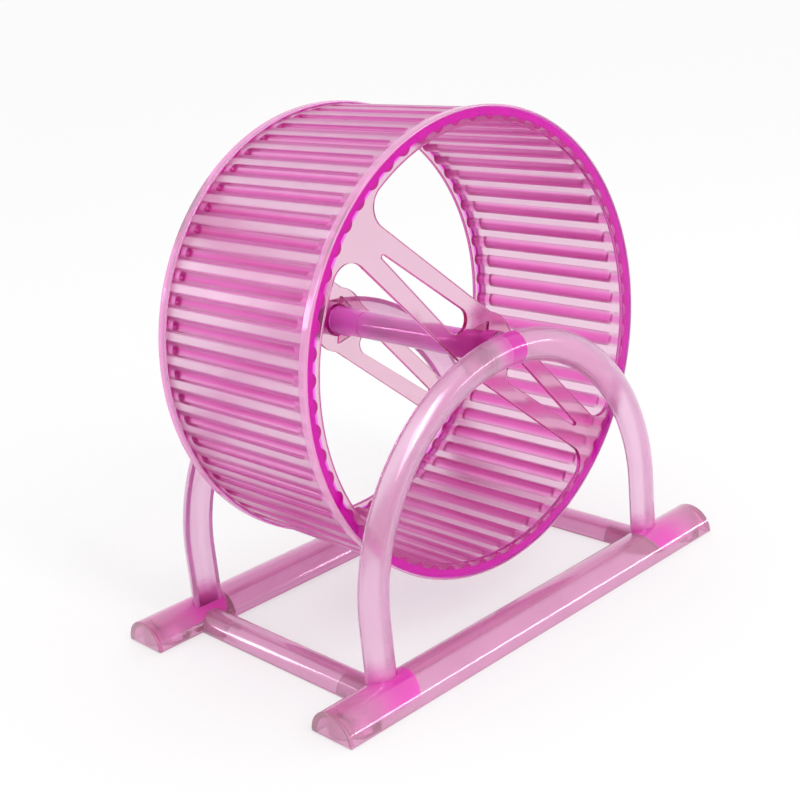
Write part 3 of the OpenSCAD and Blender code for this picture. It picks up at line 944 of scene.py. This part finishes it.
def inSeat(centre, normal):
    # boss and bulkheads round the pin, inside the arch's own skin
    fromMiddle = math.hypot(abs(centre.y) - archFace, centre.z - springZ - bendR)
    return (abs(centre.x) < arch["seatHalf"] + find["seatWide"]
            and abs(centre.z - axle.z) < arch["outR"] - find["seatFlat"]
            and fromMiddle < arch["outR"] - find["skin"])


# The pieces that come twice are made on the rear side, and flipped for the front

sweep = sweepTree()
makeDrum(drumPlastic, drumEndsPaintedDeep, onDrumEnd)
for name, rear in (("front", False), ("rear", True)):
    finished(makeSpider(name + "_spider", rear), name + "_end_plate", "wheel", name + "_end_spider",
             platePlastic)
    made = (
        ("_hub_bush", makeBush(), "wheel", "fittings", pinPlastic, None, None),
        ("_axle_pin", makePin(), "stand", "fittings", pinPlastic, None, None),
        ("_arch", makeArch(sweep, archPlastic), "stand", "stand", archPlastic, seatWallsPaintedDeep, inSeat),
        ("_rail", makeRail(sweep, railPlastic), "stand", "stand", railPlastic, socketWallsPaintedDeep, inSocket))
    for kind, obj, body, slot, outside, walls, paintedDeepAt in made:
        finished(obj if rear else flipped(obj), name + kind + "_moulded", body, name + kind,
                 outside, walls, paintedDeepAt)
for name, side in (("left", -1), ("right", 1)):
    made = makeBar(side, sweep, barPlastic)
    finished(made, name + "_cross_bar_moulded", "stand", name + "_cross_bar", barPlastic)


# Floor, light and camera

studio = dict(
    floorHalf=20, floorColour="#fcfcfc", floorRough=0.9, floorShine=0.1, floorGlow=0.5, worldForLight=0.96,
    bounces=32, mattBounces=12)
# name, place, width, height, radiance, and whether only the gloss shows it
lamps = (
    ("stripInFront", (-0.06, -0.66, 0.62), 0.12, 0.6, 8, False),
    ("softboxInGloss", (-0.1, -0.7, 0.55), 0.4, 0.5, 5, True),
    ("edgeInGloss", (-0.6, 0.68, 0.4), 0.06, 0.3, 10, True),
    ("stripAtRight", (0.62, -0.72, 0.2), 0.5, 0.03, 24, True))


def seenDirectly(tree):
    # 1 for what the camera sees, also mirrored or through clear plastic, and 0 for light on the object
    path = addNode(tree, "ShaderNodeLightPath")
    seen = reckon(tree, "MAXIMUM", path.outputs["Is Camera Ray"], path.outputs["Is Glossy Ray"])
    return reckon(tree, "MAXIMUM", seen, path.outputs["Is Transmission Ray"])


def makeFloor():
    half = studio["floorHalf"]
    corners = [(-half, -half, 0), (half, -half, 0), (half, half, 0), (-half, half, 0)]
    floor = newPiece("floor", corners, [(0, 1, 2, 3)])
    material = bpy.data.materials.new("matt_white_board")
    material.use_nodes = True
    tree = material.node_tree
    tree.nodes.clear()
    board = addNode(tree, "ShaderNodeBsdfPrincipled", {
        "Base Color": toLinear(studio["floorColour"]), "Roughness": studio["floorRough"],
        "Specular IOR Level": studio["floorShine"]})
    glow = addNode(tree, "ShaderNodeEmission", {"Color": (1, 1, 1, 1), "Strength": 1})
    share = reckon(tree, "MULTIPLY", seenDirectly(tree), studio["floorGlow"])
    mix = addNode(tree, "ShaderNodeMixShader", {0: share, 1: board.outputs[0], 2: glow.outputs[0]})
    addNode(tree, "ShaderNodeOutputMaterial", {"Surface": mix.outputs[0]})
    floor.data.materials.append(material)


def makeWorld():
    world = bpy.data.worlds.new("soft_room")
    bpy.context.scene.world = world
    world.use_nodes = True
    tree = world.node_tree
    tree.nodes.clear()
    level = addNode(tree, "ShaderNodeMapRange", {
        "Value": seenDirectly(tree), "To Min": studio["worldForLight"], "To Max": 1})
    sky = addNode(tree, "ShaderNodeBackground", {"Color": (1, 1, 1, 1), "Strength": level.outputs[0]})
    addNode(tree, "ShaderNodeOutputWorld", {"Surface": sky.outputs[0]})


def makeLamp(name, place, width, height, radiance, glossOnly):
    lamp = bpy.data.lights.new(name, "AREA")
    lamp.shape, lamp.size, lamp.size_y = "RECTANGLE", width, height
    lamp.energy = radiance * math.pi * width * height
    obj = bpy.data.objects.new(name, lamp)
    bpy.context.scene.collection.objects.link(obj)
    obj.location = place
    obj.rotation_euler = (axle - Vector(place)).to_track_quat("-Z", "Y").to_euler()
    obj.visible_diffuse = obj.visible_transmission = not glossOnly


def makeCamera():
    view = dict(
        azimuth=-42.724, elevation=18.466, roll=-5.611, away=432.2 * mm,
        target=(-6.265 * mm, 0, 65.796 * mm), lens=62.38, sensor=36, clip=(0.01, 60))
    a, e, r = (math.radians(view[k]) for k in ("azimuth", "elevation", "roll"))
    back = Vector((math.sin(a) * math.cos(e), -math.cos(a) * math.cos(e), math.sin(e)))
    right = Vector((math.cos(a), math.sin(a), 0))
    up = back.cross(right)
    turnedRight = math.cos(r) * right + math.sin(r) * up
    turnedUp = math.cos(r) * up - math.sin(r) * right
    camera = bpy.data.cameras.new("photo_view")
    camera.lens, camera.sensor_width = view["lens"], view["sensor"]
    camera.clip_start, camera.clip_end = view["clip"]
    obj = bpy.data.objects.new("photo_view", camera)
    bpy.context.scene.collection.objects.link(obj)
    turn = Matrix((turnedRight, turnedUp, back)).transposed().to_4x4()
    obj.matrix_world = Matrix.Translation(Vector(view["target"]) + back * view["away"]) @ turn
    bpy.context.scene.camera = obj


makeFloor()
makeWorld()
for lamp in lamps:
    makeLamp(*lamp)
makeCamera()

bpy.context.scene.view_settings.view_transform = "Standard"
cycles = bpy.context.scene.cycles
# light is turned back many times inside clear plastic before it comes out again
cycles.max_bounces = cycles.glossy_bounces = cycles.transmission_bounces = studio["bounces"]
cycles.diffuse_bounces = studio["mattBounces"]

bpy.context.view_layer.update()
print("all pieces made")
